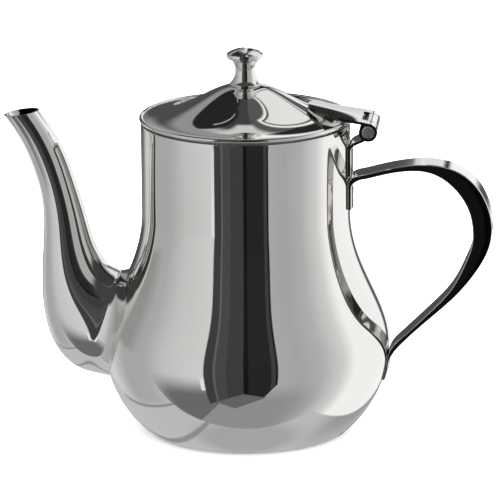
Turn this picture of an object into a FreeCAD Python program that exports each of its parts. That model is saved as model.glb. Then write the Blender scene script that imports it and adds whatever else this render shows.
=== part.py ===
import FreeCAD, Part
import math
import os

# A polished stainless teapot of about one litre: a pear-shaped body with a gooseneck spout,
# a strap handle and a hinged lid with a turned knob.  Millimetres, +Z up.  The origin is on
# the body's axis in the plane that the pot stands on.  +X points to the handle, -X to the spout.

Vec = FreeCAD.Vector

# Sheet and body
sheet = 0.8
neck_radius = 43.25
rim_height = 130.3
neck_bottom = 92.0
shoulder_pull_high = 67.53
shoulder_pull_low = 53.75
belly_radius = 59.36
belly_height = 35.65
heel_pull_high = 15.42
heel_pull_low = 5.12
foot_radius = 42.29
foot_angle = math.radians(42.8)

# How far cutting tools run past the shape that they cut
clear = 20.0

# Recessed base disc
base_ring_inner = 35.0
base_recess = 2.5

# Strainer behind the spout
strainer_hole_radius = 1.6
strainer_pitch = 6.0
strainer_row_gap = 5.22
strainer_height = 43.0
strainer_rows = 5
strainer_long_row = 5

# Spout: each station gives the lower lip point and the upper lip point of the section in the
# middle plane (x, z, x, z) and the half width across it.
spout_stations = [
    (-101.2, 132.9, -90.8, 141.0, 6.5),
    (-94.6, 123.4, -82.9, 130.0, 6.7),
    (-89.3, 112.0, -75.7, 117.0, 7.3),
    (-85.7, 100.0, -70.9, 103.4, 7.8),
    (-84.4, 88.0, -67.1, 90.4, 8.8),
    (-84.9, 75.0, -64.1, 79.4, 10.4),
    (-85.5, 63.0, -60.9, 71.9, 12.4),
    (-84.8, 48.0, -57.3, 67.6, 15.2),
    (-79.5, 32.5, -54.6, 65.9, 18.0),
    (-70.5, 24.0, -53.0, 65.2, 19.6),
    (-62.0, 21.6, -51.3, 65.3, 21.2),
    (-55.5, 20.8, -48.0, 65.9, 26.4),
    (-52.0, 20.5, -45.0, 66.2, 31.0),
]
quarter_pull = 0.5523
mouth_low = (-100.3, 131.7)
mouth_high = (-85.5, 134.0)

# Handle strap, forged with a thick grip
strap_width = 14.0
strap_outer = [
    (45.2, 108.55), (54.3, 111.0), (64.2, 113.2), (74.0, 114.2), (83.9, 112.9), (93.0, 108.1),
    (99.1, 99.9), (102.1, 89.0), (101.3, 80.4), (96.3, 70.0), (88.2, 59.6), (77.2, 49.2),
    (65.9, 38.6), (61.6, 33.2), (60.2, 28.5),
]
strap_inner = [
    (46.6, 106.9), (54.3, 108.9), (60.9, 110.5), (67.5, 111.5), (74.0, 111.1), (80.6, 108.8),
    (87.2, 103.4), (92.2, 95.5), (94.0, 85.4), (92.3, 75.1), (87.2, 64.8), (79.5, 54.3),
    (68.5, 43.7), (63.3, 38.6), (58.9, 34.4),
]
handle_tab = 1.4
handle_tab_bottom = 94.8
handle_tab_top = 106.8
handle_bend_start = (43.0, 106.6)
handle_bend_pull = (43.6, 108.1)
handle_under_pull = (45.0, 106.4)
handle_under_end = (44.6, 105.0)
handle_tail = 1.1
handle_tail_bottom = 22.0
handle_tail_top = 33.0
handle_tail_root = (56.0, 29.0)

# Hinge
hinge_x = 51.3
hinge_z = 128.8
knuckle_radius = 3.8
pin_radius = 2.55
pin_play = 0.05
barrel_half = 12.2
middle_half = 6.9
knuckle_gap = 0.3
pin_recess = 0.3
pin_chamfer = 0.3
bracket_sheet = 1.3
bracket_bottom = 109.2
bracket_tab_width = 15.6
bracket_slope = math.radians(25.0)
bracket_bend = 2.5
bracket_overlap = 3.0

# Lid
lid_sheet = 0.85
lid_edge_radius = 43.05
lid_bead = 0.85
lid_lift = 0.85
lid_brim_height = 132.35
lid_top_height = 145.6
lid_seat_radius = 6.0
lid_dome_pull = (15.5, 144.2)
lid_flare_pull = 27.5
ring_radius = 41.2
ring_bottom = 126.5
ring_flange = 3.4

# Lid leaf of the hinge
leaf_sheet = 1.2
leaf_half_width = 11.8
leaf_tip = (26.1, 138.3)
leaf_tip_length = 9.5
leaf_notch_x = 48.6
leaf_wide_end = 4.0
weld_radius = 1.6
weld_height = 3.5
weld_step = 5.0
weld_drop = 4.5
weld_side = 4.0

# Knob and its screw
knob_foot_radius = 6.3
knob_foot_height = 0.9
knob_waist_radius = 4.15
knob_waist_height = 6.3
knob_neck_radius = 5.7
knob_neck_height = 10.7
knob_cap_radius = 7.65
knob_cap_low = 11.2
knob_cap_high = 13.3
knob_cap_edge = 0.5
knob_height = 15.5
screw_radius = 2.0
screw_play = 0.1
screw_reach = 7.0
screw_tip_room = 0.5
screw_head_radius = 3.6
screw_head_height = 2.2
screw_head_round = 0.8
recess_half = 2.0
recess_width_half = 0.4
recess_depth = 1.0
washer_radius = 5.2
washer_thickness = 0.8


def edge(*points):
    """A straight edge, or a Bezier edge where more than two points are given, in the plane y = 0."""
    poles = [Vec(x, 0, z) for x, z in points]
    if len(poles) == 2:
        return Part.LineSegment(poles[0], poles[1]).toShape()
    curve = Part.BezierCurve()
    curve.setPoles(poles)
    return curve.toShape()


def arc(start, middle, end):
    """A circular edge through three points of the plane y = 0."""
    return Part.Arc(*[Vec(x, 0, z) for x, z in (start, middle, end)]).toShape()


def smooth_edge(points):
    """One smooth curve through the given points of the plane y = 0."""
    curve = Part.BSplineCurve()
    curve.interpolate([Vec(x, 0, z) for x, z in points])
    return curve.toShape()


def polygon_edges(points):
    """Straight edges from each point to the next."""
    return [edge(a, b) for a, b in zip(points, points[1:])]


def face(edges):
    return Part.Face(Part.Wire(edges))


def turned(edges):
    """A solid of revolution about Z from a closed outline in the plane y = 0."""
    return face(edges).revolve(Vec(0, 0, 0), Vec(0, 0, 1), 360)


def extruded(edges, half_width):
    """A prism along Y, centred on the plane y = 0."""
    prism = face(edges).extrude(Vec(0, 2 * half_width, 0))
    prism.translate(Vec(0, -half_width, 0))
    return prism


def block(x_low, x_high, y_low, y_high, z_low, z_high):
    return Part.makeBox(x_high - x_low, y_high - y_low, z_high - z_low, Vec(x_low, y_low, z_low))


def cylinder_y(x, z, radius, y_low, y_high):
    return Part.makeCylinder(radius, y_high - y_low, Vec(x, y_low, z), Vec(0, 1, 0))


def body_form(inset, top):
    """The pear shape as a solid, drawn in by inset from the outside of the sheet."""
    neck = neck_radius - inset
    belly = belly_radius - inset
    foot = foot_radius - inset / math.sin(foot_angle)
    shoulder = [
        (neck, neck_bottom), (neck, shoulder_pull_high),
        (belly, shoulder_pull_low), (belly, belly_height),
    ]
    heel_x = foot + heel_pull_low * math.cos(foot_angle)
    heel_z = heel_pull_low * math.sin(foot_angle)
    heel = [(belly, belly_height), (belly, heel_pull_high), (heel_x, heel_z), (foot, 0)]
    return turned([
        edge((0, top), (neck, top)),
        edge((neck, top), (neck, neck_bottom)),
        edge(*shoulder),
        edge(*heel),
        edge((foot, 0), (0, 0)),
        edge((0, 0), (0, top)),
    ])


def strainer_holes():
    """Holes in a staggered pattern through the body wall, inside the foot of the spout."""
    holes = []
    for row in range(strainer_rows):
        level = strainer_height + (row - (strainer_rows - 1) / 2) * strainer_row_gap
        count = strainer_long_row - row % 2
        for place in range(count):
            across = (place - (count - 1) / 2) * strainer_pitch
            start = Vec(-belly_radius - clear / 2, across, level)
            holes.append(Part.makeCylinder(strainer_hole_radius, clear, start, Vec(1, 0, 0)))
    return Part.makeCompound(holes)


def make_body_shell(body_outer, body_inner):
    return body_outer.cut(body_inner).cut(strainer_holes())


def make_base_disc(body_inner):
    """A disc with a flat foot ring and a raised middle, trimmed to the inside of the body."""
    wide = foot_radius + clear
    ramp = base_ring_inner - base_recess
    shift = sheet / 2
    outline = [
        (wide, 0), (base_ring_inner, 0), (ramp, base_recess), (0, base_recess),
        (0, base_recess + sheet), (ramp + shift, base_recess + sheet),
        (base_ring_inner + shift, sheet), (wide, sheet), (wide, 0),
    ]
    return turned(polygon_edges(outline)).common(body_inner)


def half_ellipse(station, inset, side):
    """Two Bezier quarters of the section's ellipse, from its lower lip to its upper lip."""
    low = Vec(station[0], 0, station[1])
    high = Vec(station[2], 0, station[3])
    along = (high - low).normalize()
    centre = (low + high) * 0.5
    deep = along * ((high - low).Length / 2 - inset)
    wide = Vec(0, side * (station[4] - inset), 0)
    quarters = []
    for start, end in ((-deep, wide), (wide, deep)):
        curve = Part.BezierCurve()
        poles = [start, start + end * quarter_pull, end + start * quarter_pull, end]
        curve.setPoles([centre + pole for pole in poles])
        quarters.append(curve.toShape())
    return quarters


def half_section(station, side):
    """The closed outline of the sheet of one half at a station."""
    outer = half_ellipse(station, 0, side)
    inner = half_ellipse(station, sheet, side)
    low_gap = Part.LineSegment(inner[0].firstVertex().Point, outer[0].firstVertex().Point).toShape()
    high_gap = Part.LineSegment(outer[1].lastVertex().Point, inner[1].lastVertex().Point).toShape()
    return Part.Wire([outer[0], outer[1], high_gap, inner[1], inner[0], low_gap])


def mouth_cutter():
    """Everything above the slanting plane of the pouring lip."""
    slope = (mouth_high[1] - mouth_low[1]) / (mouth_high[0] - mouth_low[0])
    left = (mouth_low[0] - clear, mouth_low[1] - clear * slope)
    right = (mouth_high[0] + clear, mouth_high[1] + clear * slope)
    ceiling = right[1] + clear
    outline = [left, right, (right[0], ceiling), (left[0], ceiling), left]
    return extruded(polygon_edges(outline), clear)


def make_spout_half(body_outer, side):
    """One pressed half of the spout, from the middle plane to one side, trimmed at both ends."""
    half = Part.makeLoft([half_section(station, side) for station in spout_stations], True, False)
    return half.cut(mouth_cutter()).cut(body_outer)


def make_handle(body_outer):
    """A strap in the middle plane, with a tab shaped to the neck and a tail shaped to the belly."""
    half = strap_width / 2
    root = (handle_bend_start[0], handle_under_end[1])
    strap = extruded([
        edge(handle_bend_start, handle_bend_pull, strap_outer[0]),
        smooth_edge(strap_outer),
        edge(strap_outer[-1], handle_tail_root),
        edge(handle_tail_root, strap_inner[-1]),
        smooth_edge(strap_inner),
        edge(strap_inner[0], handle_under_pull, handle_under_end),
        edge(handle_under_end, root),
        edge(root, handle_bend_start),
    ], half)
    tab_height = handle_tab_top - handle_tab_bottom
    tab = Part.makeCylinder(neck_radius + handle_tab, tab_height, Vec(0, 0, handle_tab_bottom))
    tab = tab.common(block(0, belly_radius, -half, half, 0, rim_height))
    tail = body_form(-handle_tail, rim_height)
    tail = tail.common(block(0, belly_radius + clear, -half, half, handle_tail_bottom, handle_tail_top))
    return strap.fuse([tab, tail]).cut(body_outer).removeSplitter()


def make_hinge_bracket(body_outer):
    """A tab on the neck, bent outward and rolled into the middle knuckle of the hinge."""
    half_sheet = bracket_sheet / 2
    reach = knuckle_radius - half_sheet
    along = Vec(math.cos(bracket_slope), 0, math.sin(bracket_slope))
    down = Vec(math.sin(bracket_slope), 0, -math.cos(bracket_slope))
    rolled_end = Vec(hinge_x, 0, hinge_z) + down * reach
    wall_x = neck_radius + half_sheet
    bend_end_x = wall_x + bracket_bend * (1 - math.sin(bracket_slope))
    bend_end = rolled_end - along * ((rolled_end.x - bend_end_x) / along.x)
    bend_centre = bend_end + down * bracket_bend
    bend_start = Vec(wall_x, 0, bend_centre.z)
    middle_angle = math.radians(180) - (math.radians(90) - bracket_slope) / 2
    bend_middle = bend_centre + Vec(math.cos(middle_angle), 0, math.sin(middle_angle)) * bracket_bend
    foot = Vec(wall_x, 0, bend_start.z - bracket_overlap)
    path = Part.Wire([
        Part.LineSegment(foot, bend_start).toShape(),
        Part.Arc(bend_start, bend_middle, bend_end).toShape(),
        Part.LineSegment(bend_end, rolled_end).toShape(),
    ])
    corners = [Vec(wall_x + x, y, foot.z) for x, y in (
        (-half_sheet, -middle_half), (half_sheet, -middle_half),
        (half_sheet, middle_half), (-half_sheet, middle_half), (-half_sheet, -middle_half))]
    arm = path.makePipeShell([Part.makePolygon(corners)], True, True)
    tab_height = bend_start.z - bracket_bottom
    tab = Part.makeCylinder(neck_radius + bracket_sheet, tab_height, Vec(0, 0, bracket_bottom))
    half_tab = bracket_tab_width / 2
    tab = tab.common(block(0, belly_radius, -half_tab, half_tab, 0, rim_height))
    knuckle = cylinder_y(hinge_x, hinge_z, knuckle_radius, -middle_half, middle_half)
    bore = cylinder_y(hinge_x, hinge_z, pin_radius, -middle_half, middle_half)
    return arm.fuse([tab, knuckle]).cut(bore).cut(body_outer).removeSplitter()


def make_hinge_pin():
    half = barrel_half - pin_recess
    pin = cylinder_y(hinge_x, hinge_z, pin_radius, -half, half)
    return pin.makeChamfer(pin_chamfer, [e for e in pin.Edges if isinstance(e.Curve, Part.Circle)])


def leaf_direction():
    """The slope of the leaf, tangent to the top of the knuckles."""
    slope = 0.0
    for _ in range(20):
        rise = leaf_tip[1] - hinge_z - knuckle_radius * math.cos(slope)
        run = hinge_x + knuckle_radius * math.sin(slope) - leaf_tip[0]
        slope = math.atan2(rise, run)
    return slope


def make_lid_hinge_leaf(lid_solid):
    """A tongue welded on the lid, rolled into the two outer knuckles of the hinge."""
    slope = leaf_direction()
    touch = (hinge_x + knuckle_radius * math.sin(slope), hinge_z + knuckle_radius * math.cos(slope))
    drop = (-leaf_sheet * math.sin(slope), -leaf_sheet * math.cos(slope))
    plate = extruded(polygon_edges([
        leaf_tip, touch, (touch[0] + drop[0], touch[1] + drop[1]),
        (leaf_tip[0] + drop[0], leaf_tip[1] + drop[1]), leaf_tip]), barrel_half)
    shoulder_x = leaf_tip[0] + leaf_tip_length
    low = hinge_z - clear
    high = hinge_z + clear
    tip_side = Vec(shoulder_x, leaf_half_width, low)
    tip_end = Vec(leaf_tip[0], 0, low)
    tongue = Part.Ellipse(tip_side, tip_end, Vec(shoulder_x, 0, low)).toShape()
    tip = Part.Face(Part.Wire([tongue])).extrude(Vec(0, 0, high - low))
    wide_x = hinge_x - leaf_wide_end
    straight = block(shoulder_x, wide_x, -leaf_half_width, leaf_half_width, low, high)
    ends = block(wide_x, hinge_x + clear, -barrel_half, barrel_half, low, high)
    plate = plate.common(tip.fuse([straight, ends]))
    knuckles = []
    inner_end = middle_half + knuckle_gap
    for start, end in ((-barrel_half, -inner_end), (inner_end, barrel_half)):
        knuckles.append(cylinder_y(hinge_x, hinge_z, knuckle_radius, start, end))
    welds = []
    for side in (-weld_side, weld_side):
        weld_foot = Vec(leaf_tip[0] + weld_step, side, leaf_tip[1] - weld_drop)
        welds.append(Part.makeCylinder(weld_radius, weld_height, weld_foot))
    leaf = plate.fuse(knuckles + welds)
    notch = block(leaf_notch_x, hinge_x + clear, -inner_end, inner_end, low, high)
    bore = cylinder_y(hinge_x, hinge_z, pin_radius + pin_play, -barrel_half, barrel_half)
    return leaf.cut(notch).cut(bore).cut(lid_solid).removeSplitter()


def lid_outline(drop, brim_end):
    """The bell curve of the lid from its knob seat to its brim, lowered by drop."""
    return [
        (lid_seat_radius, lid_top_height - drop), (lid_dome_pull[0], lid_dome_pull[1] - drop),
        (lid_flare_pull, lid_brim_height - drop), (brim_end, lid_brim_height - drop),
    ]


def lid_bead_height():
    return rim_height + lid_lift + lid_bead


def make_lid_solid():
    """The whole space under the lid's top face, down to its brim, with the rolled edge."""
    top = lid_outline(0, lid_edge_radius)
    under = lid_outline(lid_sheet, lid_edge_radius)
    dome = turned([
        edge((0, lid_top_height), top[0]),
        edge(*top),
        edge(top[-1], under[-1]),
        edge(under[-1], (0, under[-1][1])),
        edge((0, under[-1][1]), (0, lid_top_height)),
    ])
    bead = Part.makeTorus(lid_edge_radius, lid_bead, Vec(0, 0, lid_bead_height()))
    return dome.fuse(bead)


def lid_room():
    """The space under the lid's sheet, inside its rolled edge."""
    under = lid_outline(lid_sheet, lid_edge_radius - lid_bead)
    floor = ring_bottom - clear
    return turned([
        edge((0, under[0][1]), under[0]),
        edge(*under),
        edge(under[-1], (under[-1][0], floor)),
        edge((under[-1][0], floor), (0, floor)),
        edge((0, floor), (0, under[0][1])),
    ])


def make_lid_shell(lid_solid):
    screw_hole = Part.makeCylinder(screw_radius + screw_play, clear, Vec(0, 0, lid_top_height - clear / 2))
    return lid_solid.cut(lid_room()).cut(screw_hole)


def make_lid_inner_ring():
    """A skirt spot-welded under the brim, which keeps the lid central in the neck."""
    top = lid_brim_height - lid_sheet
    flange = ring_radius - ring_flange
    outline = [
        (ring_radius, ring_bottom), (ring_radius, top), (flange, top), (flange, top - sheet),
        (ring_radius - sheet, top - sheet), (ring_radius - sheet, ring_bottom), (ring_radius, ring_bottom),
    ]
    return turned(polygon_edges(outline)).common(lid_room())


def make_knob():
    """Turned from bar: a foot, a hollow waist and a low domed cap, bored from below for its screw."""
    base = lid_top_height
    top = base + knob_height
    foot = (knob_foot_radius, base + knob_foot_height)
    waist = (knob_waist_radius, base + knob_waist_height)
    neck = (knob_neck_radius, base + knob_neck_height)
    cap = [
        (knob_cap_radius - knob_cap_edge, base + knob_cap_low),
        (knob_cap_radius, base + knob_cap_low + knob_cap_edge),
        (knob_cap_radius, base + knob_cap_high - knob_cap_edge / 2),
        (knob_cap_radius - knob_cap_edge, base + knob_cap_high + knob_cap_edge / 2),
    ]
    profile = [
        edge((0, base), (knob_foot_radius, base)),
        edge((knob_foot_radius, base), foot),
        arc(foot, waist, neck),
        edge(neck, cap[0]),
        *polygon_edges(cap),
        edge(cap[-1], (knob_cap_radius / 2, top), (0, top)),
        edge((0, top), (0, base)),
    ]
    bore = Part.makeCylinder(screw_radius, screw_reach + screw_tip_room, Vec(0, 0, base))
    return turned(profile).cut(bore)


def make_knob_washer():
    bottom = lid_top_height - lid_sheet - washer_thickness
    disc = Part.makeCylinder(washer_radius, washer_thickness, Vec(0, 0, bottom))
    return disc.cut(Part.makeCylinder(screw_radius + screw_play, clear, Vec(0, 0, bottom - clear / 2)))


def make_knob_screw():
    """A pan head screw with a cross recess, driven up into the knob."""
    head_top = lid_top_height - lid_sheet - washer_thickness
    head_bottom = head_top - screw_head_height
    head = Part.makeCylinder(screw_head_radius, screw_head_height, Vec(0, 0, head_bottom))
    outer_rim = [e for e in head.Edges if abs(e.BoundBox.ZMax - head_bottom) < 0.01]
    head = head.makeFillet(screw_head_round, outer_rim)
    shank = Part.makeCylinder(screw_radius, lid_top_height + screw_reach - head_top, Vec(0, 0, head_top))
    low = head_bottom - recess_depth
    high = head_bottom + recess_depth
    slot = block(-recess_half, recess_half, -recess_width_half, recess_width_half, low, high)
    cross = block(-recess_width_half, recess_width_half, -recess_half, recess_half, low, high)
    return head.fuse(shank).cut(slot.fuse(cross)).removeSplitter()


def save(name, shape):
    shape.exportStep("parts/" + name + ".step")
    box = shape.BoundBox
    print("%-18s solids %d valid %s volume %9.1f  x %.2f..%.2f  y %.2f..%.2f  z %.2f..%.2f" % (
        name, len(shape.Solids), shape.isValid(), shape.Volume,
        box.XMin, box.XMax, box.YMin, box.YMax, box.ZMin, box.ZMax))


os.makedirs("parts", exist_ok=True)
pear = body_form(0, rim_height)
pear_inside = body_form(sheet, rim_height + clear)
save("body_shell", make_body_shell(pear, pear_inside))
save("base_disc", make_base_disc(pear_inside))
save("spout_left_half", make_spout_half(pear, 1))
save("spout_right_half", make_spout_half(pear, -1))
save("handle", make_handle(pear))
save("hinge_bracket", make_hinge_bracket(pear))
save("hinge_pin", make_hinge_pin())
lid_form = make_lid_solid()
save("lid_shell", make_lid_shell(lid_form))
save("lid_inner_ring", make_lid_inner_ring())
save("lid_hinge_leaf", make_lid_hinge_leaf(lid_form))
save("knob", make_knob())
save("knob_washer", make_knob_washer())
save("knob_screw", make_knob_screw())
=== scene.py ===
import math

import bmesh
import bpy
from mathutils import Matrix, Vector


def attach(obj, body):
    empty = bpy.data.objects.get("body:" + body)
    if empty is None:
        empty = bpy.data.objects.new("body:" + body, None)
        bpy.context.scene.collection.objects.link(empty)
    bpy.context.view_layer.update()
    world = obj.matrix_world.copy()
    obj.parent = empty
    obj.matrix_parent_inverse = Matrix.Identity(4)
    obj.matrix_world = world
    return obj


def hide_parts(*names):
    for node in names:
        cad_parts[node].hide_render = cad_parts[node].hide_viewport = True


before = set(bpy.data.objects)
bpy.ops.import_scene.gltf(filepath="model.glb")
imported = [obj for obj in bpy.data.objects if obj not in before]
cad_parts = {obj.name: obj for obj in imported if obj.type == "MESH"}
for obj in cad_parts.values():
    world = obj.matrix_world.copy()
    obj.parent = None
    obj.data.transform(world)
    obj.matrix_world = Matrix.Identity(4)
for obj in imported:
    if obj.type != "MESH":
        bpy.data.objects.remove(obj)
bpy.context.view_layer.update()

mm = 0.001


# ---- Body shell --------------------------------------------------------------------------
# The pot itself: one drawn and spun shell of 0.8 mm stainless, pear-shaped, with its cut rim
# rounded off and a strainer pierced behind the spout.  Mirror outside, satin inside.

sheet = 0.8
neck_radius = 43.25
rim_height = 130.3
belly_radius = 59.36
belly_height = 35.65
foot_radius = 42.29
foot_angle = math.radians(42.8)
foot_bend = 5.12
neck_bottom = 92.0
neck_pull = 67.53
shoulder_pull = 53.75
heel_pull = 15.42


def bezier(poles, steps):
    """Points along a cubic Bezier, without its first point."""
    a, b, c, d = [Vector(pole) for pole in poles]
    points = []
    for step in range(1, steps + 1):
        t = step / steps
        u = 1 - t
        points.append(tuple(a * u ** 3 + b * 3 * u * u * t + c * 3 * u * t * t + d * t ** 3))
    return points


def round_corner(centre, radius, start, end, steps):
    """Points of an arc in the (r, z) plane, from one angle to another in degrees."""
    points = []
    for step in range(steps + 1):
        angle = math.radians(start + (end - start) * step / steps)
        points.append((centre[0] + radius * math.cos(angle), centre[1] + radius * math.sin(angle)))
    return points


def pear_outline(inset, top, steps):
    """Radius and height down the pear from its neck to its foot, drawn in by inset."""
    neck = neck_radius - inset
    belly = belly_radius - inset
    foot = foot_radius - inset / math.sin(foot_angle)
    heel = (foot + foot_bend * math.cos(foot_angle), foot_bend * math.sin(foot_angle))
    points = [(neck, top + (neck_bottom - top) * step / 20) for step in range(21)]
    points += bezier([
        (neck, neck_bottom), (neck, neck_pull), (belly, shoulder_pull), (belly, belly_height)], steps)
    points += bezier([(belly, belly_height), (belly, heel_pull), heel, (foot, 0)], steps)
    return points


pear_table = pear_outline(0, rim_height, 200)


def pear_radius(height):
    """Outside radius of the pot at a height."""
    if height >= neck_bottom:
        return neck_radius
    for (r_high, z_high), (r_low, z_low) in zip(pear_table, pear_table[1:]):
        if z_low <= height <= z_high:
            return r_low + (r_high - r_low) * (height - z_low) / max(z_high - z_low, 1e-9)
    return foot_radius


def new_piece(name, bm, materials, sharp_degrees=30):
    """Turns a bmesh in millimetres into a smooth-shaded piece in metres, sharp where it bends hard."""
    bmesh.ops.recalc_face_normals(bm, faces=bm.faces)
    mesh = bpy.data.meshes.new(name)
    bm.to_mesh(mesh)
    bm.free()
    mesh.transform(Matrix.Scale(mm, 4))
    mesh.shade_smooth()
    mesh.set_sharp_from_angle(angle=math.radians(sharp_degrees))
    for material in materials:
        mesh.materials.append(material)
    piece = bpy.data.objects.new(name, mesh)
    bpy.context.scene.collection.objects.link(piece)
    return piece


def spin(outline, turns, slots=None, closed=True):
    """A piece turned about Z from (r, z) points; slots names each stretch's material."""
    bm = bmesh.new()
    rings = []
    for r, z in outline:
        if r < 1e-6:
            rings.append([bm.verts.new((0, 0, z))] * turns)
            continue
        ring = []
        for turn in range(turns):
            angle = 2 * math.pi * turn / turns
            ring.append(bm.verts.new((r * math.cos(angle), r * math.sin(angle), z)))
        rings.append(ring)
    pairs = list(zip(range(len(rings)), range(1, len(rings))))
    if closed:
        pairs.append((len(rings) - 1, 0))
    for upper, lower in pairs:
        for turn in range(turns):
            after = (turn + 1) % turns
            corners = [rings[upper][turn], rings[upper][after], rings[lower][after], rings[lower][turn]]
            corners = list(dict.fromkeys(corners))
            if len(corners) > 2:
                made = bm.faces.new(corners)
                if slots:
                    made.material_index = slots[upper]
    return bm


def node(tree, kind, inputs=(), **settings):
    """Adds a shader node; inputs are (socket, value or linked output)."""
    made = tree.nodes.new(kind)
    for key, value in settings.items():
        setattr(made, key, value)
    for socket, value in inputs:
        if isinstance(value, bpy.types.NodeSocket):
            tree.links.new(value, made.inputs[socket])
        else:
            made.inputs[socket].default_value = value
    return made


def vector_sum(tree, operation, *inputs):
    return node(tree, "ShaderNodeVectorMath", list(enumerate(inputs)), operation=operation).outputs[0]


def number_sum(tree, operation, *inputs):
    return node(tree, "ShaderNodeMath", list(enumerate(inputs)), operation=operation).outputs[0]


def grain_along(tree, direction):
    """Coordinates in which polish marks run as short lines: round, ringed, along or across."""
    place = node(tree, "ShaderNodeTexCoord").outputs["Object"]
    if direction == "ringed":
        flat = vector_sum(tree, "MULTIPLY", place, (1, 1, 0))
        reach = node(tree, "ShaderNodeVectorMath", [(0, flat)], operation="LENGTH").outputs["Value"]
        ring = number_sum(tree, "MULTIPLY", reach, 2600.0)
        broad = vector_sum(tree, "MULTIPLY", flat, (25, 25, 0))
        lift = node(tree, "ShaderNodeCombineXYZ", [(2, ring)]).outputs[0]
        return vector_sum(tree, "ADD", broad, lift)
    scales = {"round": (25, 25, 2600), "along": (60, 2600, 60), "across": (2600, 60, 2600)}
    return vector_sum(tree, "MULTIPLY", place, scales[direction])


def steel(name, colour, shine, spread, marks, mark_depth, wave_depth, edge_light):
    """Stainless steel whose roughness, tone and bump carry the marks of its polishing.

    Roughness runs from shine to shine + spread and grows by edge_light on worn edges.  The
    depths of the polish marks and of the sheet's slow waves are in millimetres.
    """
    material = bpy.data.materials.new(name)
    material.use_nodes = True
    tree = material.node_tree
    shader = tree.nodes["Principled BSDF"]
    shader.inputs["Metallic"].default_value = 1.0
    shader.inputs["IOR"].default_value = 2.5
    place = node(tree, "ShaderNodeTexCoord").outputs["Object"]
    lines = node(tree, "ShaderNodeTexNoise", [
        ("Vector", grain_along(tree, marks)), ("Scale", 1.0), ("Detail", 3.0), ("Roughness", 0.6)])
    haze = node(tree, "ShaderNodeTexNoise", [("Vector", place), ("Scale", 45.0), ("Detail", 4.0)])
    rough = node(tree, "ShaderNodeMapRange", [
        ("Value", number_sum(tree, "ADD", lines.outputs["Fac"], haze.outputs["Fac"])),
        ("From Min", 0.65), ("From Max", 1.35), ("To Min", shine), ("To Max", shine + spread)])
    edge = node(tree, "ShaderNodeNewGeometry").outputs["Pointiness"]
    worn = node(tree, "ShaderNodeMapRange", [
        ("Value", edge), ("From Min", 0.52), ("From Max", 0.60), ("To Min", 0.0), ("To Max", edge_light)])
    rough_worn = number_sum(tree, "ADD", rough.outputs[0], worn.outputs[0])
    tree.links.new(rough_worn, shader.inputs["Roughness"])
    tone = node(tree, "ShaderNodeValToRGB", [("Fac", haze.outputs["Fac"])])
    dull, bright = tone.color_ramp.elements
    dull.position = 0.3
    dull.color = (colour[0] * 0.965, colour[1] * 0.965, colour[2] * 0.96, 1)
    bright.position = 0.7
    bright.color = (*colour, 1)
    tree.links.new(tone.outputs["Color"], shader.inputs["Base Color"])
    swell = node(tree, "ShaderNodeTexNoise", [("Vector", place), ("Scale", 28.0), ("Detail", 1.0)])
    wave = node(tree, "ShaderNodeBump", [
        ("Height", swell.outputs["Fac"]), ("Strength", 1.0), ("Distance", wave_depth * mm)])
    scratched = node(tree, "ShaderNodeBump", [
        ("Height", lines.outputs["Fac"]), ("Strength", 1.0), ("Distance", mark_depth * mm),
        ("Normal", wave.outputs["Normal"])])
    tree.links.new(scratched.outputs["Normal"], shader.inputs["Normal"])
    return material


mirror_colour = (0.82, 0.81, 0.795)
satin_colour = (0.70, 0.69, 0.68)
body_polish = steel("body_polish", mirror_colour, shine=0.02, spread=0.02,
                    marks="round", mark_depth=0.0004, wave_depth=0.006, edge_light=0.05)
satin_inside = steel("satin_inside", satin_colour, shine=0.26, spread=0.10,
                     marks="round", mark_depth=0.004, wave_depth=0.010, edge_light=0.05)

outside = pear_outline(0, rim_height - sheet / 2, 110)
inside = pear_outline(sheet, rim_height - sheet / 2, 60)
rim = round_corner((neck_radius - sheet / 2, rim_height - sheet / 2), sheet / 2, 180, 0, 8)[1:-1]
shell_outline = outside + inside[::-1] + rim
shell_slots = [0] * (len(outside) - 1) + [1] * len(inside) + [0] * (len(rim) + 1)
shell_mesh = spin(shell_outline, 224, shell_slots)
body_shell = new_piece("body_shell_mirror", shell_mesh, [body_polish, satin_inside])

strainer_hole = 1.6
strainer_pitch = 6.0
strainer_row = strainer_pitch * 0.87
strainer_height = 43.0
quarter_turn = math.radians(90)
punch = bmesh.new()
for row in range(5):
    level = strainer_height + (row - 2) * strainer_row
    count = 5 if row % 2 == 0 else 4
    for hole in range(count):
        across = (hole - (count - 1) / 2) * strainer_pitch
        spot = Matrix.Translation((-belly_radius + 2, across, level)) @ Matrix.Rotation(quarter_turn, 4, "Y")
        bmesh.ops.create_cone(punch, cap_ends=True, segments=20, radius1=strainer_hole,
                              radius2=strainer_hole, depth=20, matrix=spot)
strainer_punch = new_piece("strainer_punch", punch, [])
pierce = body_shell.modifiers.new("strainer", "BOOLEAN")
pierce.object = strainer_punch
pierce.operation = "DIFFERENCE"
pierce.solver = "EXACT"


def keep_modifiers(piece):
    """Applies a piece's modifiers, so that its mesh is what shows."""
    evaluated = piece.evaluated_get(bpy.context.evaluated_depsgraph_get())
    mesh = bpy.data.meshes.new_from_object(evaluated)
    piece.modifiers.clear()
    piece.data = mesh


keep_modifiers(body_shell)
bpy.data.objects.remove(strainer_punch)
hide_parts("body_shell")
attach(body_shell, "pot")


# ---- Base disc ---------------------------------------------------------------------------
# The bottom: a pressed disc with a flat foot ring and a raised middle, welded inside the foot of
# the shell and left satin, with rings from the lathe.

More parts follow.
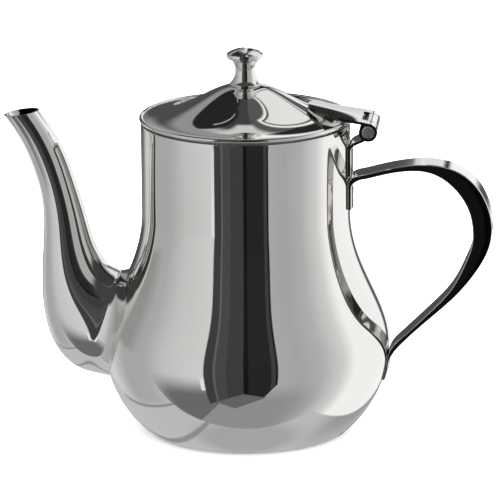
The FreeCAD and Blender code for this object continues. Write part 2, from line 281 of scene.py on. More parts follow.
base_ring_inner = 35.0
base_recess = 2.5
base_satin = steel("base_satin", satin_colour, shine=0.24, spread=0.12,
                   marks="ringed", mark_depth=0.006, wave_depth=0.015, edge_light=0.05)
rise = base_ring_inner - base_recess
foot_inside = foot_radius - sheet / math.sin(foot_angle)
foot_slope = sheet / math.tan(foot_angle)
base_outline = [(0, base_recess), (rise - 6, base_recess)]
base_outline += bezier([
    (rise - 6, base_recess), (rise - 1, base_recess), (rise + 1, 0), (base_ring_inner, 0)], 12)
base_outline += [(foot_inside - 0.3, 0), (foot_inside, 0.25), (foot_inside + foot_slope, sheet)]
base_outline += [(base_ring_inner + 0.4, sheet)]
base_outline += bezier([
    (base_ring_inner + 0.4, sheet), (rise + 1.4, sheet),
    (rise - 0.6, base_recess + sheet), (rise - 6, base_recess + sheet)], 12)
base_outline += [(0, base_recess + sheet)]
base_disc = new_piece("base_disc_pressed", spin(base_outline, 160, closed=False), [base_satin])
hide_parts("base_disc")
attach(base_disc, "pot")


# ---- Spout -------------------------------------------------------------------------------
# A gooseneck made of two pressed halves, seam-welded in the middle plane, ground flush and
# polished, with a flared foot that is welded round the strainer.  Its mouth is cut on the slant.

# Stations from past the mouth to inside the pot: the outer edge (x, z), the inner edge (x, z) and
# half the width.
spout_stations = [
    (-101.2, 132.9, -90.8, 141.0, 6.5),
    (-94.6, 123.4, -82.9, 130.0, 6.7),
    (-89.3, 112.0, -75.7, 117.0, 7.3),
    (-85.7, 100.0, -70.9, 103.4, 7.8),
    (-84.4, 88.0, -67.1, 90.4, 8.8),
    (-84.9, 75.0, -64.1, 79.4, 10.4),
    (-85.5, 63.0, -60.9, 71.9, 12.4),
    (-84.8, 48.0, -57.3, 67.6, 15.2),
    (-79.5, 32.5, -54.6, 65.9, 18.0),
    (-70.5, 24.0, -53.0, 65.2, 19.6),
    (-62.0, 21.6, -51.3, 65.3, 21.2),
    (-55.5, 20.8, -48.0, 65.9, 26.4),
    (-52.0, 20.5, -45.0, 66.2, 31.0),
]
mouth_low = (-100.3, 131.7)
mouth_high = (-85.5, 134.0)


def smooth_line(points):
    """A natural cubic spline through points; returns its function of 0 to 1 and its knots."""
    points = [Vector(p) for p in points]
    knots = [0.0]
    for before, after in zip(points, points[1:]):
        knots.append(knots[-1] + (after - before).length)
    last = len(points) - 1
    gaps = [knots[i + 1] - knots[i] for i in range(last)]
    bends = [points[0] * 0.0 for _ in points]
    pull = [0.0] * (last + 1)
    carry = [points[0] * 0.0 for _ in points]
    for i in range(1, last):
        target = ((points[i + 1] - points[i]) / gaps[i] - (points[i] - points[i - 1]) / gaps[i - 1]) * 6
        weight = 2 * (gaps[i - 1] + gaps[i]) - gaps[i - 1] * pull[i - 1]
        pull[i] = gaps[i] / weight
        carry[i] = (target - carry[i - 1] * gaps[i - 1]) / weight
    for i in range(last - 1, 0, -1):
        bends[i] = carry[i] - bends[i + 1] * pull[i]

    def at(share):
        along = min(max(share, 0.0), 1.0) * knots[-1]
        i = 0
        while i < last - 1 and along > knots[i + 1]:
            i += 1
        gap = gaps[i]
        left = (knots[i + 1] - along) / gap
        right = (along - knots[i]) / gap
        return (points[i] * left + points[i + 1] * right
                + (bends[i] * (left ** 3 - left) + bends[i + 1] * (right ** 3 - right)) * gap * gap / 6)

    return at, [knot / knots[-1] for knot in knots]


spout_at, spout_knots = smooth_line(spout_stations)


def spout_point(share, angle, inset, side):
    """A point of the spout's skin: share along it, angle round it from its lower lip to its upper."""
    x_low, z_low, x_high, z_high, width = spout_at(share)
    low = Vector((x_low, 0, z_low))
    high = Vector((x_high, 0, z_high))
    depth = (high - low).length / 2 - inset
    deep = (high - low).normalized() * depth
    wide = Vector((0, side * (width - inset), 0))
    return (low + high) / 2 - deep * math.cos(angle) + wide * math.sin(angle)


def above_mouth(point):
    """True beyond the slanting cut of the mouth."""
    slope = (mouth_high[1] - mouth_low[1]) / (mouth_high[0] - mouth_low[0])
    return point.z > mouth_low[1] + (point.x - mouth_low[0]) * slope


def inside_pot(point):
    """True within the outside face of the pot."""
    return math.hypot(point.x, point.y) < pear_radius(point.z)


def crossing(test, inside_share, outside_share, angle, inset, side):
    """The share at which the skin passes the plane of the mouth or the wall of the pot."""
    for _ in range(26):
        middle = (inside_share + outside_share) / 2
        if test(spout_point(middle, angle, inset, side)):
            inside_share = middle
        else:
            outside_share = middle
    return (inside_share + outside_share) / 2


def spout_half(side, rows=110, columns=44):
    """One pressed half of the spout, from the mouth to the pot's wall, with its thickness."""
    bm = bmesh.new()
    skins = []
    for inset in (0.0, sheet):
        grid = []
        for column in range(columns + 1):
            angle = math.pi * column / columns
            start = crossing(above_mouth, 0.0, spout_knots[2], angle, inset, side)
            end = crossing(inside_pot, 1.0, spout_knots[6], angle, inset, side)
            line = []
            for row in range(rows + 1):
                point = spout_point(start + (end - start) * row / rows, angle, inset, side)
                if column in (0, columns):
                    point.y = 0
                line.append(bm.verts.new(point))
            grid.append(line)
        skins.append(grid)
        for left, right in zip(grid, grid[1:]):
            for row in range(rows):
                bm.faces.new([left[row], left[row + 1], right[row + 1], right[row]])
    outer, inner = skins
    for end in (0, rows):
        for column in range(columns):
            bm.faces.new([outer[column][end], outer[column + 1][end],
                          inner[column + 1][end], inner[column][end]])
    for edge_line in (0, columns):
        for row in range(rows):
            bm.faces.new([outer[edge_line][row], outer[edge_line][row + 1],
                          inner[edge_line][row + 1], inner[edge_line][row]])
    return bm


spout_polish = steel("spout_polish", mirror_colour, shine=0.025, spread=0.02,
                     marks="along", mark_depth=0.0004, wave_depth=0.010, edge_light=0.06)
for side, name in ((1, "spout_left_half"), (-1, "spout_right_half")):
    half = new_piece(name + "_pressed", spout_half(side), [spout_polish])
    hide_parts(name)
    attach(half, "pot")


# ---- Handle ------------------------------------------------------------------------------
# A forged strap, thin where it leaves the neck, thick at the grip and thin again at the belly,
# with a tab shaped to the neck and a tail shaped to the belly, both spot-welded.

strap_width = 14.0
strap_edge = 0.45
corner_steps = 4
belly_tail = [(height, pear_radius(height)) for height in (30.0, 27.5, 25.0, 22.0)]
# Stations along the strap, from its tab to its tail: the face that lies on the neck and becomes the
# outside of the loop (x, z), then the other face (x, z).
tab_face = neck_radius + 1.4
strap_pairs = [
    (neck_radius, 94.8, tab_face, 94.8), (neck_radius, 99.0, tab_face, 99.0),
    (neck_radius, 103.6, tab_face, 103.2),
    (43.45, 106.9, 44.85, 105.4), (45.2, 108.55, 46.5, 106.85),
    (49.5, 109.75, 50.2, 107.9), (54.3, 111.0, 54.8, 109.05), (64.2, 113.2, 64.5, 111.05),
    (74.0, 114.2, 73.8, 111.2), (83.9, 112.9, 80.9, 108.7), (93.0, 108.1, 87.4, 103.2),
    (99.1, 99.9, 92.0, 96.0), (102.1, 89.0, 94.0, 87.8), (101.3, 80.4, 93.9, 81.0),
    (96.3, 70.0, 90.8, 72.0), (88.2, 59.6, 85.6, 61.9), (77.2, 49.2, 75.6, 50.7),
    (65.9, 38.6, 64.6, 40.0), (62.5, 34.6, 60.9, 35.8), (60.9, 31.9, 59.5, 32.6),
] + [(radius + 1.1, height, radius, height) for height, radius in belly_tail]


def strap_section(half, depth, corner, spans):
    """A rounded oblong of (y, depth) points, with spans steps across each broad face."""
    section = []
    for turn, (side, level) in enumerate(((1, 0.0), (1, depth), (-1, depth), (-1, 0.0))):
        centre_y = side * (half - corner)
        centre_d = corner if level == 0.0 else depth - corner
        for step in range(corner_steps + 1):
            angle = math.radians(-90 + 90 * turn + 90 * step / corner_steps)
            section.append((centre_y + corner * math.cos(angle), centre_d + corner * math.sin(angle)))
        if turn in (1, 3):
            for step in range(1, spans):
                section.append((centre_y - 2 * centre_y * step / spans, level))
    return section


def strap_solid(at, rows, half_width_at, edge_round, hug_at):
    """A strap swept along pairs of face points and bent round the pot where it hugs it."""
    bm = bmesh.new()
    spans = 16
    rings = []
    for row in range(rows + 1):
        share = row / rows
        x_out, z_out, x_in, z_in = at(share)
        outer = Vector((x_out, 0, z_out))
        across = Vector((x_in, 0, z_in)) - outer
        depth = across.length
        across = across / depth
        ring = []
        for y, d in strap_section(half_width_at(share), depth, min(edge_round, depth * 0.45), spans):
            point = outer + across * d
            radius = pear_radius(point.z)
            bend = math.sqrt(max(radius * radius - y * y, 0)) - radius
            ring.append(bm.verts.new((point.x + bend * hug_at(share), y, point.z)))
        rings.append(ring)
    near_side = corner_steps
    far_side = 3 * corner_steps + spans + 1
    # The strap's two narrow sides and its two ends take the near-black steel: painted dark reflection.
    dark_reflection_faces = [side + step for side in (near_side, far_side) for step in (-1, 0, 1)]
    for before, after in zip(rings, rings[1:]):
        for i in range(len(before)):
            j = (i + 1) % len(before)
            made = bm.faces.new([before[i], before[j], after[j], after[i]])
            made.material_index = 1 if i in dark_reflection_faces else 0
    bm.faces.new(rings[0]).material_index = 1
    bm.faces.new(rings[-1]).material_index = 1
    return bm


strap_at, strap_knots = smooth_line(strap_pairs)


def strap_hug(share):
    """1 where the strap lies on the pot, 0 along the free loop."""
    if share < strap_knots[4]:
        return min(1.0, (strap_knots[4] - share) / (strap_knots[4] - strap_knots[2]))
    if share > strap_knots[17]:
        return min(1.0, (share - strap_knots[17]) / (strap_knots[19] - strap_knots[17]))
    return 0.0


handle_polish = steel("handle_polish", mirror_colour, shine=0.03, spread=0.025,
                      marks="along", mark_depth=0.0006, wave_depth=0.012, edge_light=0.05)
# Near-black steel for the strap's narrow sides and ends and the leaf's sheet edges: a painted dark
# reflection, much darker than the steel itself is.
dark_reflection_steel = steel("dark_reflection_steel", (0.10, 0.098, 0.097), shine=0.06, spread=0.06,
                 marks="along", mark_depth=0.001, wave_depth=0.01, edge_light=0.05)
strap = strap_solid(strap_at, 420, lambda share: strap_width / 2, strap_edge, strap_hug)
handle = new_piece("handle_strap", strap, [handle_polish, dark_reflection_steel])
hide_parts("handle")
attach(handle, "pot")


# ---- Hinge bracket -----------------------------------------------------------------------
# A tab of 1.3 mm sheet spot-welded to the neck, bent outward and rolled round the pin to make
# the middle knuckle.

hinge_x = 51.3
hinge_z = 128.8
knuckle_radius = 3.8
pin_radius = 2.55
middle_half = 6.9
bracket_sheet = 1.3
bracket_bottom = 109.2
bracket_tab_half = 7.8
bracket_slope = math.radians(25.0)
bracket_bend = 2.5
bracket_edge = 0.18
tab_steps = 12
bend_steps = 12
arm_steps = 10


def rolled_path(start_degrees, end_degrees, thickness, steps):
    """Pairs of face points round the pin, the outer face first."""
    pairs = []
    for step in range(steps + 1):
        angle = math.radians(start_degrees + (end_degrees - start_degrees) * step / steps)
        pair = []
        for radius in (knuckle_radius, knuckle_radius - thickness):
            pair += [hinge_x + radius * math.cos(angle), hinge_z + radius * math.sin(angle)]
        pairs.append(tuple(pair))
    return pairs


down = Vector((math.sin(bracket_slope), -math.cos(bracket_slope)))
along = Vector((math.cos(bracket_slope), math.sin(bracket_slope)))
rolled_low = Vector((hinge_x, hinge_z)) + down * knuckle_radius
inner_bend = bracket_bend - bracket_sheet / 2
outer_bend = bracket_bend + bracket_sheet / 2
arm_end_x = neck_radius + bracket_sheet + inner_bend * (1 - math.sin(bracket_slope))
arm_start = rolled_low - along * ((rolled_low.x - arm_end_x) / along.x)
bend_centre = arm_start + down * inner_bend
bracket_pairs = []
for step in range(tab_steps + 1):
    level = bracket_bottom + (bend_centre.y - bracket_bottom) * step / tab_steps
    bracket_pairs.append((neck_radius + bracket_sheet, level, neck_radius, level))
for step in range(1, bend_steps + 1):
    angle = math.radians(180) + (bracket_slope - math.radians(90)) * step / bend_steps
    toward = Vector((math.cos(angle), math.sin(angle)))
    outer_point = bend_centre + toward * inner_bend
    inner_point = bend_centre + toward * outer_bend
    bracket_pairs.append((outer_point.x, outer_point.y, inner_point.x, inner_point.y))
for step in range(1, arm_steps):
    outer_point = arm_start + (rolled_low - arm_start) * step / arm_steps
    inner_point = outer_point - down * bracket_sheet
    bracket_pairs.append((outer_point.x, outer_point.y, inner_point.x, inner_point.y))
bracket_pairs += rolled_path(math.degrees(bracket_slope) - 90, 230, knuckle_radius - pin_radius, 48)


def straight_runs(pairs):
    """A function of 0 to 1 that runs evenly through pairs of face points."""
    def at(share):
        along_pairs = min(max(share, 0.0), 1.0) * (len(pairs) - 1)
        i = min(int(along_pairs), len(pairs) - 2)
        part = along_pairs - i
        return [a + (b - a) * part for a, b in zip(pairs[i], pairs[i + 1])]
    return at


bracket_rows = len(bracket_pairs) - 1


def bracket_half(share):
    """Half the width: the tab's, narrowing to the knuckle's through the bend."""
    row = share * bracket_rows
    narrow = min(max((row - tab_steps) / 6, 0.0), 1.0)
    return bracket_tab_half + (middle_half - bracket_tab_half) * narrow


def bracket_hug(share):
    """1 where the tab lies on the neck, fading to 0 through the bend."""
    return min(max((20 - share * bracket_rows) / 8, 0.0), 1.0)


hinge_polish = steel("hinge_polish", mirror_colour, shine=0.05, spread=0.04,
                     marks="across", mark_depth=0.001, wave_depth=0.02, edge_light=0.08)
bracket_at = straight_runs(bracket_pairs)
bracket_solid = strap_solid(bracket_at, bracket_rows, bracket_half, bracket_edge, bracket_hug)
bracket = new_piece("hinge_bracket_rolled", bracket_solid, [hinge_polish, dark_reflection_steel])
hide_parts("hinge_bracket")
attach(bracket, "pot")


# ---- Hinge pin ---------------------------------------------------------------------------
# A turned steel pin, held in the middle knuckle, its ends faced off and slightly domed.

pin_half = 11.9
pin_steel = steel("pin_steel", satin_colour, shine=0.20, spread=0.10,
                  marks="ringed", mark_depth=0.002, wave_depth=0.005, edge_light=0.10)
pin_outline = [
    (0, -pin_half), (pin_radius - 0.4, -pin_half + 0.1), (pin_radius, -pin_half + 0.4),
    (pin_radius, pin_half - 0.4), (pin_radius - 0.4, pin_half - 0.1), (0, pin_half)]
pin_mesh = spin(pin_outline, 48, closed=False)
pin_place = Matrix.Translation((hinge_x, 0, hinge_z)) @ Matrix.Rotation(quarter_turn, 4, "X")
bmesh.ops.transform(pin_mesh, verts=pin_mesh.verts, matrix=pin_place)
pin = new_piece("hinge_pin_turned", pin_mesh, [pin_steel])
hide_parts("hinge_pin")
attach(pin, "pot")


# ---- Lid shell ---------------------------------------------------------------------------
# A spun bell of 0.8 mm sheet with a wide brim and a rolled edge that rests on the rim of the
# pot.  Mirror on top, satin below.

lid_edge_radius = 43.05
lid_bead = 0.85
lid_brim_height = 132.35
lid_top_height = 145.6
lid_seat_radius = 6.0
lid_lift = 0.85
bead_height = rim_height + lid_lift + lid_bead
under_drop = 0.85
bell_top_pull = (15.5, lid_top_height - 1.4)
bell_brim_pull = (27.5, lid_brim_height)


def bell(drop, brim_end, steps):
    """The lid's curve from its knob seat to its brim, lowered by drop."""
    curve = [(lid_seat_radius, lid_top_height), bell_top_pull, bell_brim_pull, (brim_end, lid_brim_height)]
    poles = [(r, z - drop) for r, z in curve]
    return [poles[0]] + bezier(poles, steps)


lid_polish = steel("lid_polish", mirror_colour, shine=0.02, spread=0.02,
                   marks="ringed", mark_depth=0.0004, wave_depth=0.006, edge_light=0.06)
bead_start = math.degrees(math.asin((lid_brim_height - bead_height) / lid_bead))
bead_end = math.degrees(math.asin(max(lid_brim_height - under_drop - bead_height, -lid_bead) / lid_bead))
join_in = lid_bead * math.cos(math.radians(bead_start))
join_under = lid_bead * math.cos(math.radians(bead_end))
lid_outline = [(0, lid_top_height)] + bell(0, lid_edge_radius - join_in, 110)
lid_bead_centre = (lid_edge_radius, bead_height)
lid_outline += round_corner(lid_bead_centre, lid_bead, 180 - bead_start, -180 - bead_end, 40)[1:-1]
lid_under = bell(under_drop, lid_edge_radius - join_under, 60)
lid_slots = [0] * (len(lid_outline) - 1) + [1] * (len(lid_under) + 1)
lid_outline += lid_under[::-1] + [(0, lid_top_height - under_drop)]
lid_satin = steel("lid_satin", satin_colour, shine=0.24, spread=0.10,
                  marks="ringed", mark_depth=0.005, wave_depth=0.012, edge_light=0.05)
lid_mesh = spin(lid_outline, 224, lid_slots, closed=False)
lid = new_piece("lid_shell_spun", lid_mesh, [lid_polish, lid_satin])
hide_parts("lid_shell")
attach(lid, "lid")


# ---- Lid inner ring ----------------------------------------------------------------------
# A skirt bent from satin strip and spot-welded under the brim; it drops into the neck and keeps
# the lid central.

ring_radius = 41.2
ring_flange = 3.4
ring_bottom = 126.5
ring_top = lid_brim_height - under_drop
ring_outline = [
    (ring_radius, ring_top), (ring_radius, ring_bottom + 0.4), (ring_radius - 0.1, ring_bottom + 0.1),
    (ring_radius - 0.4, ring_bottom), (ring_radius - 0.7, ring_bottom + 0.1),
    (ring_radius - sheet, ring_bottom + 0.4), (ring_radius - sheet, ring_top - sheet - 0.6),
    (ring_radius - sheet - 0.6, ring_top - sheet), (ring_radius - ring_flange, ring_top - sheet + 0.1),
    (ring_radius - ring_flange, ring_top)]
inner_ring = new_piece("lid_inner_ring_strip", spin(ring_outline, 160), [satin_inside])
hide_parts("lid_inner_ring")
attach(inner_ring, "lid")


# ---- Lid hinge leaf ----------------------------------------------------------------------
# A tongue of 1.2 mm sheet, slightly crowned, with a rounded tip, welded on the lid by two
# projections and rolled at its back into the two outer knuckles of the hinge.

leaf_sheet = 1.2
leaf_half_width = 11.8
barrel_half = 12.2
leaf_tip = Vector((26.1, 138.3))
leaf_tip_length = 9.5
leaf_notch_x = 48.6
leaf_crown = 0.9
inner_end = middle_half + 0.3
knuckle_wall = knuckle_radius - pin_radius - 0.05
leaf_slope = 0.0
for _ in range(20):
    leaf_slope = math.atan2(leaf_tip.y - hinge_z - knuckle_radius * math.cos(leaf_slope),
                            hinge_x + knuckle_radius * math.sin(leaf_slope) - leaf_tip.x)
leaf_up = Vector((math.sin(leaf_slope), math.cos(leaf_slope)))
leaf_touch = Vector((hinge_x, hinge_z)) + leaf_up * knuckle_radius


def leaf_rows():
    """Stations along the leaf: top and bottom points, half width, crown, and if its middle is cut away."""
    length = (leaf_touch - leaf_tip).length
    direction = (leaf_touch - leaf_tip) / length
    notch = (leaf_notch_x - leaf_tip.x) / math.cos(leaf_slope)
    flat = []
    for step in range(19):
        reach = max(leaf_tip_length * (1 - math.cos(math.radians(5 * step))), 0.02)
        width = leaf_half_width * math.sqrt(max(1 - (1 - reach / leaf_tip_length) ** 2, 0.0))
        flat.append((reach, width, leaf_crown, False))
    for step in range(1, 13):
        part = step / 12
        reach = leaf_tip_length + (notch - leaf_tip_length) * part
        width = leaf_half_width + (barrel_half - leaf_half_width) * part ** 2
        flat.append((reach, width, leaf_crown * (1 - part), step == 12))
    for step in range(1, 9):
        flat.append((notch + (length - notch) * step / 8, barrel_half, 0.0, True))
    rows = []
    for reach, width, crown, is_cut in flat:
        top = leaf_tip + direction * reach
        rows.append((top, top - leaf_up * leaf_sheet, width, crown, is_cut))
    start = 90 - math.degrees(leaf_slope)
    for x_out, z_out, x_in, z_in in rolled_path(start, start - 300, knuckle_wall, 60)[1:]:
        rows.append((Vector((x_out, z_out)), Vector((x_in, z_in)), barrel_half, 0.0, True))
    return rows


def leaf_solid():
    """The leaf's top and under faces, joined by cut edges all round and round its notch."""
    bm = bmesh.new()
    outer_share = inner_end / barrel_half
    even = [round(-1 + k / 12, 6) for k in range(25)]
    shares = {share for share in even if abs(share) < outer_share - 0.02}
    for side in (-1, 1):
        shares |= {side * (outer_share + (1 - outer_share) * k / 5) for k in range(6)}
    columns = sorted(shares)
    stations = leaf_rows()
    grids = ([], [])
    for top, bottom, width, crown, is_cut in stations:
        sag = crown * (width / leaf_half_width) ** 2
        for grid, point in zip(grids, (top, bottom)):
            places = [(point.x, share * width, point.y - sag * share ** 2) for share in columns]
            grid.append([bm.verts.new(place) for place in places])
    kept = set()
    for row in range(len(stations) - 1):
        for column in range(len(columns) - 1):
            in_middle = abs(columns[column] + columns[column + 1]) / 2 < outer_share
            if not (stations[row][4] and in_middle):
                kept.add((row, column))
    for row, column in sorted(kept):
        for grid in grids:
            bm.faces.new([grid[row][column], grid[row + 1][column],
                          grid[row + 1][column + 1], grid[row][column + 1]])
        corners = {(i, j): [grid[row + i][column + j] for grid in grids] for i in (0, 1) for j in (0, 1)}
        for down, aside, first, second in ((-1, 0, (0, 0), (0, 1)), (1, 0, (1, 0), (1, 1)),
                                           (0, -1, (0, 0), (1, 0)), (0, 1, (0, 1), (1, 1))):
            if (row + down, column + aside) not in kept:
                # The leaf's edge faces take the near-black steel: painted dark reflection.
                cut = bm.faces.new(corners[first][:1] + corners[second] + corners[first][1:])
                cut.material_index = 1
    loose = [v for v in bm.verts if not v.link_faces]
    bmesh.ops.delete(bm, geom=loose, context="VERTS")
    bmesh.ops.remove_doubles(bm, verts=bm.verts, dist=0.002)
    return bm


leaf_polish = steel("leaf_polish", mirror_colour, shine=0.04, spread=0.04,
                    marks="across", mark_depth=0.001, wave_depth=0.015, edge_light=0.08)
leaf = new_piece("lid_hinge_leaf_rolled", leaf_solid(), [leaf_polish, dark_reflection_steel])
soften = leaf.modifiers.new("edge", "BEVEL")
soften.width = 0.22 * mm
soften.segments = 3
soften.limit_method = "ANGLE"
soften.angle_limit = math.radians(50)
keep_modifiers(leaf)
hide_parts("lid_hinge_leaf")
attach(leaf, "lid")


# ---- Knob --------------------------------------------------------------------------------
# Turned from bar: a foot with a small step, a hollow waist and a low domed cap with a polished
# band round it.

knob_foot_radius = 6.3
knob_waist_radius = 4.15
knob_neck_radius = 5.7
knob_cap_radius = 7.65
knob_height = 15.5
knob_polish = steel("knob_polish", mirror_colour, shine=0.02, spread=0.02,
                    marks="round", mark_depth=0.0005, wave_depth=0.003, edge_light=0.06)


def through_arc(start, middle, end, steps):
    """Points of the circle through three (r, z) points, without its first point."""
    start, middle, end = Vector(start), Vector(middle), Vector(end)
    twice_area = 2 * ((middle - start).x * (end - start).y - (middle - start).y * (end - start).x)
    to_middle = (middle - start).length_squared
    to_end = (end - start).length_squared
    centre = start + Vector(((end - start).y * to_middle - (middle - start).y * to_end,
                             (middle - start).x * to_end - (end - start).x * to_middle)) / twice_area
    first, via, final = [math.atan2(*(point - centre).yx) for point in (start, middle, end)]
    turn = 2 * math.pi
    sweep = (final - first) % turn
    if (via - first) % turn > sweep:
        sweep -= turn
    radius = (start - centre).length
    points = []
    for step in range(1, steps + 1):
        angle = first + sweep * step / steps
        points.append((centre.x + radius * math.cos(angle), centre.y + radius * math.sin(angle)))
    return points


base = lid_top_height
foot_top = base + 0.9
cap_low = base + 11.2
cap_high = base + 13.3
knob_outline = [(0, base), (knob_foot_radius - 0.7, base), (knob_foot_radius - 0.6, base + 0.3),
                (knob_foot_radius - 0.1, base + 0.35), (knob_foot_radius, base + 0.45),
                (knob_foot_radius, foot_top - 0.15), (knob_foot_radius - 0.15, foot_top)]
knob_outline += through_arc((knob_foot_radius - 0.15, foot_top), (knob_waist_radius, base + 6.3),
                            (knob_neck_radius, cap_low - 0.5), 36)
knob_outline += [(knob_cap_radius - 0.55, cap_low - 0.05), (knob_cap_radius - 0.2, cap_low + 0.1),
                 (knob_cap_radius, cap_low + 0.45), (knob_cap_radius, cap_high - 0.35),
                 (knob_cap_radius - 0.15, cap_high), (knob_cap_radius - 0.5, cap_high + 0.2)]
knob_outline += bezier([(knob_cap_radius - 0.5, cap_high + 0.2), (knob_cap_radius - 2.0, cap_high + 1.2),
                        (knob_cap_radius * 0.4, base + knob_height), (0, base + knob_height)], 24)
knob = new_piece("knob_turned", spin(knob_outline, 96, closed=False), [knob_polish])
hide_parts("knob")
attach(knob, "lid")


# ---- Knob screw and washer ---------------------------------------------------------------
# A pan head screw and a flat washer hold the knob from under the lid.  Both are bought parts in
# plain bright steel.

screw_steel = steel("screw_steel", satin_colour, shine=0.22, spread=0.10,
                    marks="ringed", mark_depth=0.003, wave_depth=0.004, edge_light=0.12)
for name in ("knob_screw", "knob_washer"):
    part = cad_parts[name]
    for finish in part.material_slots:
        finish.material = screw_steel


# ---- Studio ------------------------------------------------------------------------------
# A plain white floor under plain soft light.  The polished steel shows the room round it: light
# walls, a tall dark opening on the camera's side, a grey tray, a dark ceiling and a window behind.

floor_mesh = bmesh.new()
bmesh.ops.create_grid(floor_mesh, x_segments=1, y_segments=1, size=4000)
floor_paint = bpy.data.materials.new("floor_paint")
floor_paint.use_nodes = True
floor_shader = floor_paint.node_tree.nodes["Principled BSDF"]
floor_shader.inputs["Base Color"].default_value = (0.95, 0.95, 0.95, 1)
floor_shader.inputs["Roughness"].default_value = 0.9
floor_shader.inputs["Specular IOR Level"].default_value = 0.0
floor = new_piece("studio_floor", floor_mesh, [floor_paint])
floor.location.z = -0.0002
floor.visible_glossy = False

world = bpy.data.worlds.new("studio")
world.use_nodes = True
bpy.context.scene.world = world
room = world.node_tree
room.nodes.clear()
facing = math.radians(5.0)


def work_out(operation, *values):
    """One sum on the numbers of the room's shader."""
    return number_sum(room, operation, *values)


def share_along(direction):
    """How far the ray points along a direction."""
    product = node(room, "ShaderNodeVectorMath", [(0, ray), (1, direction)], operation="DOT_PRODUCT")
    return product.outputs["Value"]


def degrees_between(first, second):
    return work_out("DEGREES", work_out("ARCTAN2", first, second))


# Where a ray points, in degrees: its bearing from the front, its bearing from straight behind the
# pot, and its height.  For the floor: how far it goes aside and towards the camera as it falls by one.
ray = node(room, "ShaderNodeTexCoord").outputs["Generated"]
rise = node(room, "ShaderNodeSeparateXYZ", [(0, ray)]).outputs["Z"]
toward = share_along((math.sin(facing), -math.cos(facing), 0))
aside = share_along((math.cos(facing), math.sin(facing), 0))
squares = work_out("ADD", work_out("MULTIPLY", toward, toward), work_out("MULTIPLY", aside, aside))
level = work_out("POWER", squares, 0.5)
bearing = degrees_between(aside, toward)
behind = degrees_between(aside, work_out("MULTIPLY", toward, -1.0))
height = degrees_between(rise, level)
fall = work_out("MAXIMUM", work_out("MULTIPLY", rise, -1.0), 0.02)
floor_aside = work_out("DIVIDE", aside, fall)
floor_toward = work_out("DIVIDE", toward, fall)


def ramp(value, low, high):
    """0 at low and 1 at high, with a soft change between them."""
    return node(room, "ShaderNodeMapRange", [
        ("Value", value), ("From Min", low), ("From Max", high)], interpolation_type="SMOOTHSTEP").outputs[0]


def lay(shade, brightness, *edges):
    """Lays a patch of one brightness over the room; each edge is (coordinate, outside, inside)."""
    mask = ramp(*edges[0])
    for edge in edges[1:]:
        mask = work_out("MULTIPLY", mask, ramp(*edge))
    return node(room, "ShaderNodeMix", [(0, mask), (2, shade), (3, brightness)]).outputs[0]


def panel(shade, brightness, place, left, right, low, high, soft):
    """A patch between two bearings and two heights, in degrees."""
    return lay(shade, brightness, (place, left - soft, left + soft), (place, right + soft, right - soft),
               (height, low - soft, low + soft), (height, high + soft, high - soft))


round_room = node(room, "ShaderNodeMapRange", [("Value", bearing), ("From Min", -180.0), ("From Max", 180.0)])
walls = node(room, "ShaderNodeValToRGB", [("Fac", round_room.outputs[0])])
for stop, light in zip(walls.color_ramp.elements, (0.85, 1.05)):
    stop.color = (light, light, light, 1)
for at_bearing, light in ((-140, 0.72), (-117, 0.46), (-91, 0.48), (-70, 0.65), (-38, 0.75), (26, 0.48),
                          (42, 0.45), (62, 0.52), (84, 0.76), (97, 1.08)):
    stop = walls.color_ramp.elements.new((at_bearing + 180) / 360)
    stop.color = (light, light, light, 1)
shade = walls.outputs["Color"]

# The grey tray under the pot, its seams, and the darker floor to the left and right of it.
tray_back = (floor_toward, 0.30, 0.26)
tray = (tray_back, (floor_aside, -1.3, -1.0), (floor_aside, 0.83, 0.78), (height, -14.0, -20.0))
shade = lay(shade, 0.60, *tray)
shade = lay(shade, 0.46, *tray, (height, -60.0, -74.0))
shade = lay(shade, 0.38, *tray, (floor_aside, 0.1, 0.8), (floor_toward, 0.0, -0.6))
shade = lay(shade, 0.33, *tray, (floor_aside, -0.47, -0.44), (floor_aside, -0.38, -0.41))
shade = lay(shade, 0.33, tray_back, (floor_aside, -1.13, -1.09), (floor_aside, -1.02, -1.05),
            (floor_toward, -1.6, -1.2))
shade = lay(shade, 0.33, (floor_toward, 0.25, 0.29), (floor_aside, -0.53, -0.49), (bearing, 75.0, 28.0),
            (height, -18.0, -40.0))
shade = lay(shade, 0.17, (floor_toward, 0.24, 0.30), (floor_aside, -0.49, -0.52), (bearing, -98.0, -68.0),
            (height, -12.0, -33.0))

# The low step before the dark opening, with a shallow point in the middle of its edge.
step_slope = work_out("MULTIPLY", work_out("ABSOLUTE", work_out("ADD", bearing, 12.0)), -0.45)
step_line = work_out("ADD", work_out("ADD", height, 47.5), step_slope)
shade = lay(shade, 0.15, (step_line, -0.6, 0.6), (bearing, -28.0, -26.5), (bearing, 16.0, 14.0))

# The tall dark opening in front: a light strip on its left, a pointed sill, a right side that leans
# in below, and darker and lighter stripes inside.
shade = panel(shade, 0.92, bearing, -38.6, -35.0, -27, -14, 0.6)
from_corner = work_out("ADD", bearing, 3.0)
sill_slope = work_out("MAXIMUM", work_out("MULTIPLY", from_corner, -0.375),
                      work_out("MULTIPLY", from_corner, 0.235))
sill = work_out("ADD", work_out("ADD", height, 30.0), sill_slope)
lean = work_out("MULTIPLY", work_out("MINIMUM", work_out("ADD", height, 20.0), 0.0), -0.72)
right_side = work_out("ADD", bearing, lean)
opening = ((sill, -0.6, 0.6), (bearing, -35.6, -34.6), (right_side, 25.0, 24.0), (height, 52.0, 46.0))
shade = lay(shade, 0.055, *opening)
for left, right, light in ((-27.4, -25.4, 0.14), (-25.4, -17.0, 0.075), (-3.2, 1.2, 0.010),
                           (1.2, 19.0, 0.022), (22.6, 24.2, 0.010)):
    shade = lay(shade, light, *opening,
                (bearing, left - 0.5, left + 0.5), (bearing, right + 0.5, right - 0.5))

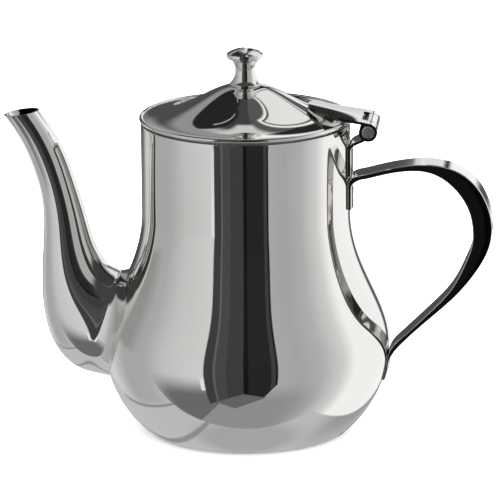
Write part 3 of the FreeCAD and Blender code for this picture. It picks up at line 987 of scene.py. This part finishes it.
# The dark ceiling with one lamp, and the dim wall behind the pot to the left, lighter towards its
# right edge.
shade = panel(shade, 0.06, bearing, -400, 400, 46, 100, 6)
shade = panel(shade, 0.90, behind, 10, 26, 66, 78, 2)
wall_edge = (behind, 0.0, -1.2)
shade = lay(shade, 0.34, (behind, -85.0, -66.0), wall_edge, (height, -6.0, 0.0), (height, 50.0, 36.0))
shade = lay(shade, 0.08, (behind, -42.0, -24.0), wall_edge, (height, -20.0, -12.0), (height, 30.0, 19.0))
shade = lay(shade, 0.50, (behind, -8.0, 0.5), (behind, 1.6, 0.8), (height, 11.5, 15.5), (height, 26.0, 20.0))

# What hangs and stands behind the pot: brightness, then left, right, low, high and softness in
# degrees.  Later ones lie over earlier ones.
dark_curtain = (0.02, -37, -11, 38, 68, 1)
curtain_gap = (0.65, -17, -16, 50, 66, 0.4)
lamp_screen = (0.70, -6, 11, 38, 58, 2)
window_wall = (0.11, 5, 62, 20, 72, 2)
window_reveal = (1.00, 12, 50, 25, 62, 1)
window_frame = (0.05, 14.5, 47.5, 27, 60, 0.5)
window_pane = (0.92, 16, 46, 28.5, 58.5, 0.8)
window_ledge = (0.10, 9, 30, 14.5, 21, 1)
dark_post = (0.05, 8.5, 11, 5, 15, 1)
light_board = (0.75, 1.5, 8, -8, 14.5, 2)
dark_board = (0.02, 3, 11.5, 16, 37, 1)
dark_skirting = (0.02, -0.5, 8.3, -30, -1, 2)
low_bench = (0.10, 14.5, 26, -17.5, -1, 3)
for brightness, *sides, soft in (dark_curtain, curtain_gap, lamp_screen, window_wall, window_reveal,
                                 window_frame, window_pane, window_ledge, dark_post, light_board,
                                 dark_board, dark_skirting, low_bench):
    shade = panel(shade, brightness, behind, *sides, soft)

# Shiny metal sees this room.  The floor and everything matt see plain white light.
lit_room = node(room, "ShaderNodeBackground", [("Color", shade)])
plain_room = node(room, "ShaderNodeBackground", [("Color", (1.0, 1.0, 1.0, 1)), ("Strength", 3.0)])
glossy = node(room, "ShaderNodeLightPath").outputs["Is Glossy Ray"]
both = node(room, "ShaderNodeMixShader", [(0, glossy), (1, plain_room.outputs[0]), (2, lit_room.outputs[0])])
node(room, "ShaderNodeOutputWorld", [("Surface", both.outputs[0])])

bpy.context.scene.view_settings.view_transform = "Standard"


# ---- Camera ------------------------------------------------------------------------------
# A long lens two metres away, a little above the pot and a little towards the handle's side.

distance = 2.0
elevation = math.radians(14.8)
roll = math.radians(-0.415)
lens_length = 347.04
sensor_width = 36.0
aim_right = 0.00152
aim_down = 0.00464
sight = Vector((0, 0, 0.080))
ahead = Vector((math.sin(facing), -math.cos(facing), 0))
back = ahead * math.cos(elevation) + Vector((0, 0, math.sin(elevation)))
right = Vector((math.cos(facing), math.sin(facing), 0))
up = back.cross(right)
right, up = right * math.cos(roll) + up * math.sin(roll), up * math.cos(roll) - right * math.sin(roll)
place = sight + back * distance
aim = sight + right * aim_right - up * aim_down
back = (place - aim).normalized()
right = (right - back * right.dot(back)).normalized()
up = back.cross(right)
camera_data = bpy.data.cameras.new("camera")
camera_data.sensor_width = sensor_width
camera_data.lens = lens_length
camera_data.clip_start = 0.1
camera_data.clip_end = 50
camera = bpy.data.objects.new("camera", camera_data)
bpy.context.scene.collection.objects.link(camera)
camera.matrix_world = Matrix((
    (right.x, up.x, back.x, place.x),
    (right.y, up.y, back.y, place.y),
    (right.z, up.z, back.z, place.z),
    (0, 0, 0, 1)))
bpy.context.scene.camera = camera
